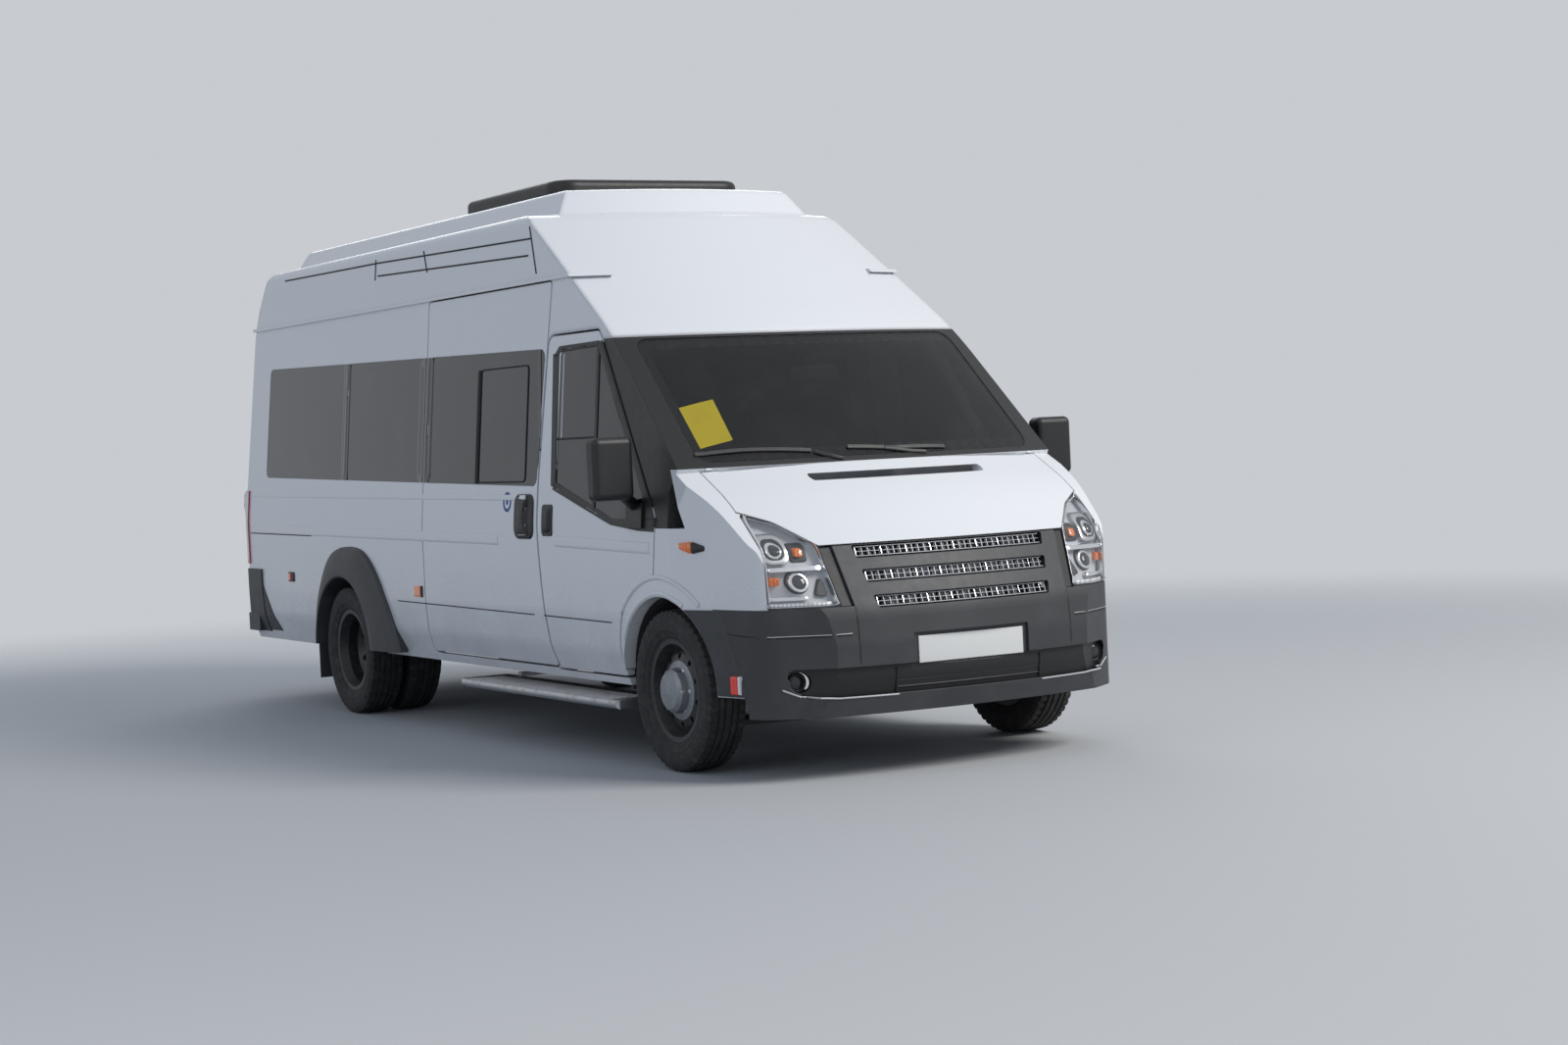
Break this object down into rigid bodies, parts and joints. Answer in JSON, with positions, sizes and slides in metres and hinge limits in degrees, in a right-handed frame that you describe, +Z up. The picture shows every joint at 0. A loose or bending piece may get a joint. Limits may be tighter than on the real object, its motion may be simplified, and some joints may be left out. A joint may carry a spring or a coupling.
{
  "type": "high-roof minibus",
  "caption": "High-roof passenger minibus with hinged cab and rear doors, a hood that lifts, front wheels that steer and twin rear wheels that roll.",
  "frame": {"origin": "on the ground, under the middle of the overall length and width", "axes": "+X forward, +Y to the vehicle's left, +Z up"},
  "size_m": [6.397, 2.5, 2.74],
  "materials": {
    "white_paint": "gloss white body paint",
    "bumper_plastic": "grained charcoal plastic",
    "black_trim": "grained black plastic",
    "dark_glass": "dark tinted glass",
    "screen_glass": "clear green-grey glass",
    "lamp_glass": "clear lens",
    "lamp_chrome": "metallised reflector",
    "wheel_steel": "dark painted steel",
    "tyre_rubber": "tyre rubber",
    "chassis_steel": "black frame paint",
    "engine_iron": "cast iron and alloy",
    "exhaust_steel": "dulled steel",
    "floor_lining": "dark floor covering",
    "cabin_plastic": "grained dark plastic",
    "seat_cloth": "woven seat cloth",
    "step_aluminium": "bright aluminium",
    "tail_lamp": "red lamp lens"
  },
  "bodies": {
    "body": {"arch_flares": "bumper_plastic", "bulkhead": "white_paint", "chassis_frame": "chassis_steel", "dashboard": "cabin_plastic", "drip_rails": "white_paint", "engine": "engine_iron", "exhaust": "exhaust_steel", "floor": "floor_lining", "front_bumper": "bumper_plastic", "front_seats": "seat_cloth", "front_subframe": "chassis_steel", "front_wings": "white_paint", "fuel_tank": "chassis_steel", "grille_panel": "bumper_plastic", "grilles": "black_trim", "headlamp_lenses": "lamp_glass", "headlamps": "lamp_chrome", "passenger_seats": "seat_cloth", "radiator": "step_aluminium", "rear_axle": "chassis_steel", "rear_bumper": "bumper_plastic", "rear_frame": "white_paint", "roof": "white_paint", "roof_pod": "black_trim", "side_glass": "dark_glass", "side_left": "white_paint", "side_right": "white_paint", "side_step": "step_aluminium", "sliding_door": "white_paint", "sliding_door_glass": "dark_glass", "tail_lamps": "tail_lamp", "windscreen": "screen_glass", "windscreen_frame": "black_trim"},
    "front_door_left_body": {"front_door_left": "white_paint", "front_door_glass_left": "dark_glass", "mirror_left": "black_trim"},
    "front_door_right_body": {"front_door_right": "white_paint", "front_door_glass_right": "dark_glass", "mirror_right": "black_trim"},
    "rear_door_left_body": {"rear_door_left": "white_paint", "rear_door_glass_left": "dark_glass"},
    "rear_door_right_body": {"rear_door_right": "white_paint", "rear_door_glass_right": "dark_glass"},
    "hood_body": {"hood": "white_paint"},
    "knuckle_left_body": {"knuckle_left": "chassis_steel"},
    "knuckle_right_body": {"knuckle_right": "chassis_steel"},
    "front_wheel_left_body": {"front_wheel_left": "wheel_steel", "front_tyre_left": "tyre_rubber"},
    "front_wheel_right_body": {"front_wheel_right": "wheel_steel", "front_tyre_right": "tyre_rubber"},
    "rear_wheels_left_body": {"rear_wheels_left": "wheel_steel", "rear_tyres_left": "tyre_rubber"},
    "rear_wheels_right_body": {"rear_wheels_right": "wheel_steel", "rear_tyres_right": "tyre_rubber"},
    "steering_wheel_body": {"steering_wheel": "cabin_plastic"}
  },
  "joints": [
    {"name": "front_door_left_hinge", "type": "hinge", "parent": "body", "child": "front_door_left_body", "pos_m": [2.26, 0.987, 1], "axis": [0, 0, 1], "range_deg": [-70, 0]},
    {"name": "front_door_right_hinge", "type": "hinge", "parent": "body", "child": "front_door_right_body", "pos_m": [2.26, -0.987, 1], "axis": [0, 0, 1], "range_deg": [0, 70]},
    {"name": "rear_door_left_hinge", "type": "hinge", "parent": "body", "child": "rear_door_left_body", "pos_m": [-3.188, 0.817, 0.62], "axis": [0.0564, 0, 0.9984], "range_deg": [-90, 0]},
    {"name": "rear_door_right_hinge", "type": "hinge", "parent": "body", "child": "rear_door_right_body", "pos_m": [-3.188, -0.817, 0.62], "axis": [0.0564, 0, 0.9984], "range_deg": [0, 90]},
    {"name": "hood_hinge", "type": "hinge", "parent": "body", "child": "hood_body", "pos_m": [2.4835, 0, 1.294], "axis": [0, -1, 0], "range_deg": [0, 50]},
    {"name": "steering_left", "type": "hinge", "parent": "body", "child": "knuckle_left_body", "pos_m": [2.27, 0.788, 0.35], "axis": [0, 0, 1], "range_deg": [-35, 35]},
    {"name": "steering_right", "type": "hinge", "parent": "body", "child": "knuckle_right_body", "pos_m": [2.27, -0.788, 0.35], "axis": [0, 0, 1], "range_deg": [-35, 35]},
    {"name": "steering_wheel_turn", "type": "hinge", "parent": "body", "child": "steering_wheel_body", "pos_m": [1.83, 0.4, 1.18], "axis": [-0.8192, 0, 0.5736], "range_deg": [-540, 540]},
    {"name": "front_wheel_left_spin", "type": "hinge", "parent": "knuckle_left_body", "child": "front_wheel_left_body", "pos_m": [2.27, 0.858, 0.35], "axis": [0, 1, 0], "continuous": true},
    {"name": "rear_wheels_left_spin", "type": "hinge", "parent": "body", "child": "rear_wheels_left_body", "pos_m": [-1.48, 0.79, 0.35], "axis": [0, 1, 0], "continuous": true},
    {"name": "front_wheel_right_spin", "type": "hinge", "parent": "knuckle_right_body", "child": "front_wheel_right_body", "pos_m": [2.27, -0.858, 0.35], "axis": [0, 1, 0], "continuous": true},
    {"name": "rear_wheels_right_spin", "type": "hinge", "parent": "body", "child": "rear_wheels_right_body", "pos_m": [-1.48, -0.79, 0.35], "axis": [0, 1, 0], "continuous": true}
  ],
  "couplings": [
    {"joint": "steering_right", "follows": "steering_left", "ratio": 1},
    {"joint": "steering_wheel_turn", "follows": "steering_left", "ratio": 15}
  ]
}
